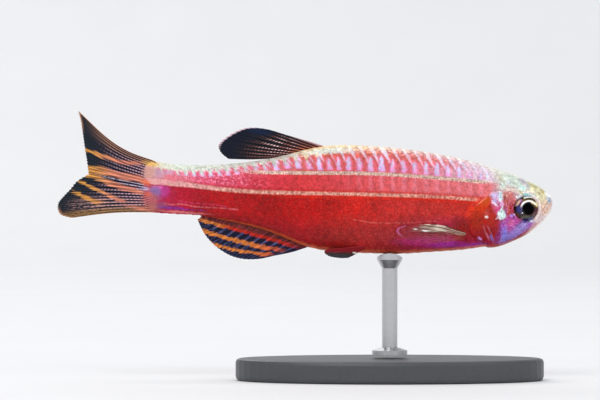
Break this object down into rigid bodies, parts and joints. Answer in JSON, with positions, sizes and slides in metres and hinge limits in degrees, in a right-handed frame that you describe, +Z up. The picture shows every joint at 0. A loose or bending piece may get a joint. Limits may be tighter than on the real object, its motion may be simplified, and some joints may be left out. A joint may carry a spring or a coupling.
{
  "type": "zebra danio, fluorescent red strain",
  "caption": "Life-size swimming zebra danio with forked tail fin and ridged fins, its tail swept to one side, held over an oval stand by a short rod.",
  "frame": {"origin": "centre of the underside of the stand's oval base, under the rod", "axes": "+X towards the fish's snout, along its length; +Y towards its left side; +Z up through its back"},
  "size_m": [0.0451, 0.015, 0.0246],
  "materials": {
    "flesh": "wet scaled skin, saturated red with a pink, cream-striped back",
    "head_skin": "wet smooth skin, pale peach above and lilac pink on the cheek",
    "gill_cover": "wet pearly skin, orange-red with pale rims",
    "eye": "polished, black pupil in a gold and violet iris",
    "fin": "thin ribbed membrane, navy with orange stripes",
    "pale_fin": "thin ribbed membrane, clear to brownish",
    "barbel": "soft skin, brown orange",
    "stand_base": "satin charcoal paint",
    "stand_rod": "fine brushed"
  },
  "bodies": {
    "root": {"trunk": "flesh", "tail_stalk": "flesh", "head": "head_skin", "lower_jaw": "head_skin", "gill_cover_right": "gill_cover", "gill_cover_left": "gill_cover", "eye_right": "eye", "eye_left": "eye", "dorsal_fin": "fin", "anal_fin": "fin", "tail_fin_upper": "fin", "tail_fin_lower": "fin", "pectoral_fin_right": "pale_fin", "pectoral_fin_left": "pale_fin", "pelvic_fin_right": "pale_fin", "pelvic_fin_left": "pale_fin", "barbel_right": "barbel", "barbel_left": "barbel", "stand_base": "stand_base", "stand_rod": "stand_rod"}
  },
  "joints": []
}
